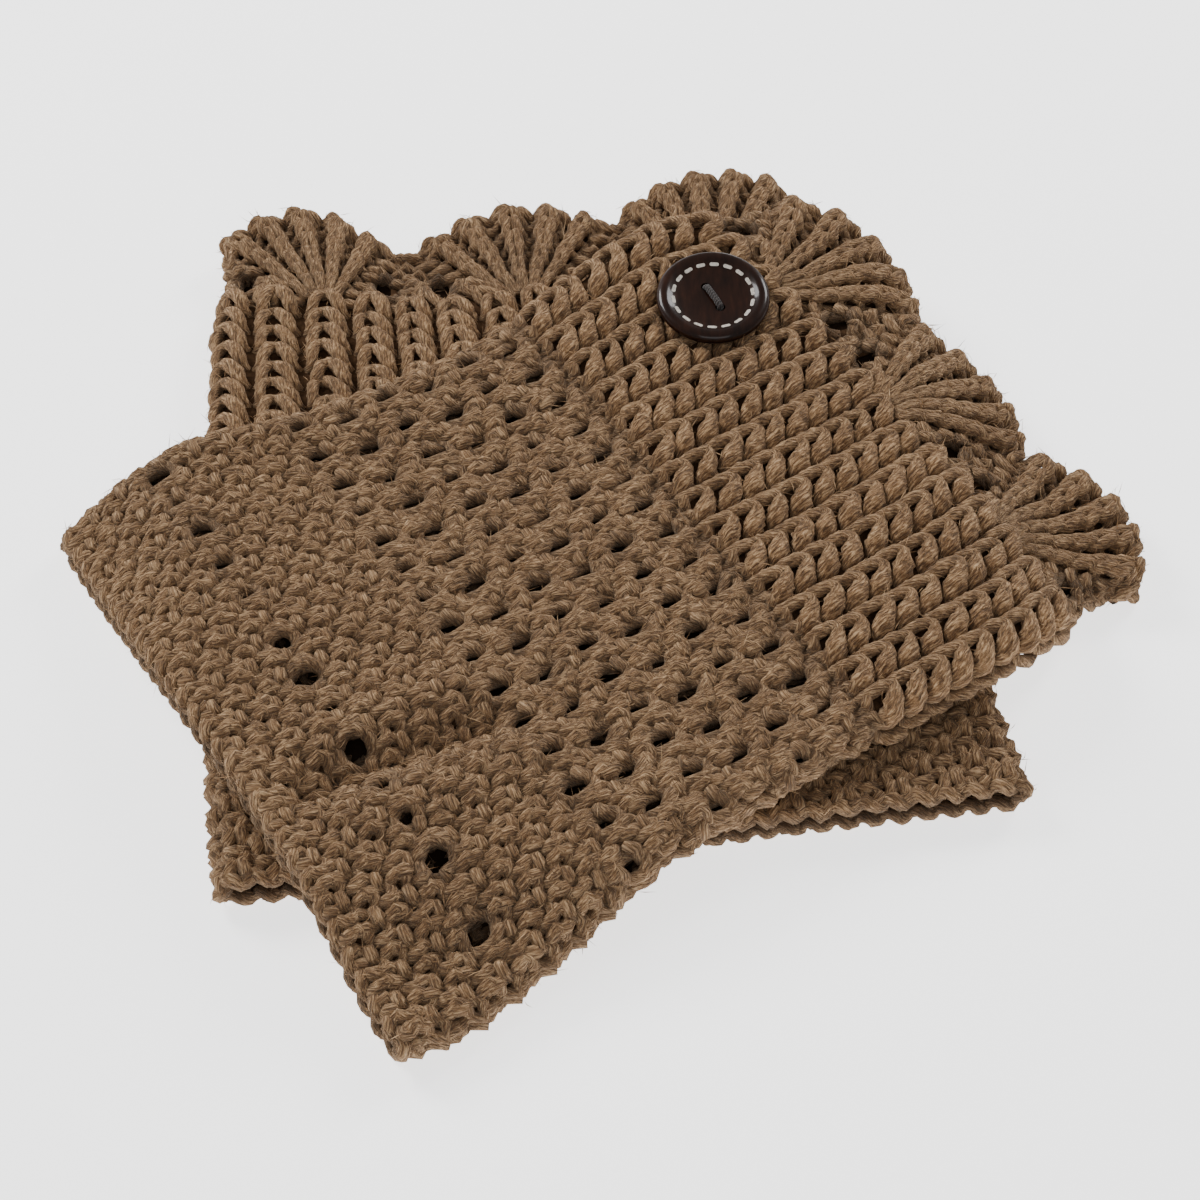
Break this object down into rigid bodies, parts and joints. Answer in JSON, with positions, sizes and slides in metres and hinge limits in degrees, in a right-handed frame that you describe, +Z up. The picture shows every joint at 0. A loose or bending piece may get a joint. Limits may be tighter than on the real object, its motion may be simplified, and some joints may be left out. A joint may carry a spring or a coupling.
{
  "type": "pair of short knitted leg warmers, laid flat and crossed",
  "caption": "Short brown knitted leg warmers with a mesh middle, ribbing, a shell edging and a dark wooden button, laid flat one across the other.",
  "frame": {"origin": "centre of the pair's bounding box, on the plane that it lies on", "axes": "+Z up from that plane; +Y from the hems of the lower leg warmer towards its shell edging, so the edging points away from -Y; +X to the right of that"},
  "size_m": [0.2252, 0.237, 0.025],
  "materials": {
    "knit": "matte",
    "wood": "gloss",
    "thread": "matte"
  },
  "bodies": {
    "root": {"lower_back": "knit", "lower_front": "knit", "upper_back": "knit", "upper_front": "knit", "lower_button": "wood", "lower_button_thread": "thread", "upper_button": "wood", "upper_button_thread": "thread"}
  },
  "joints": []
}
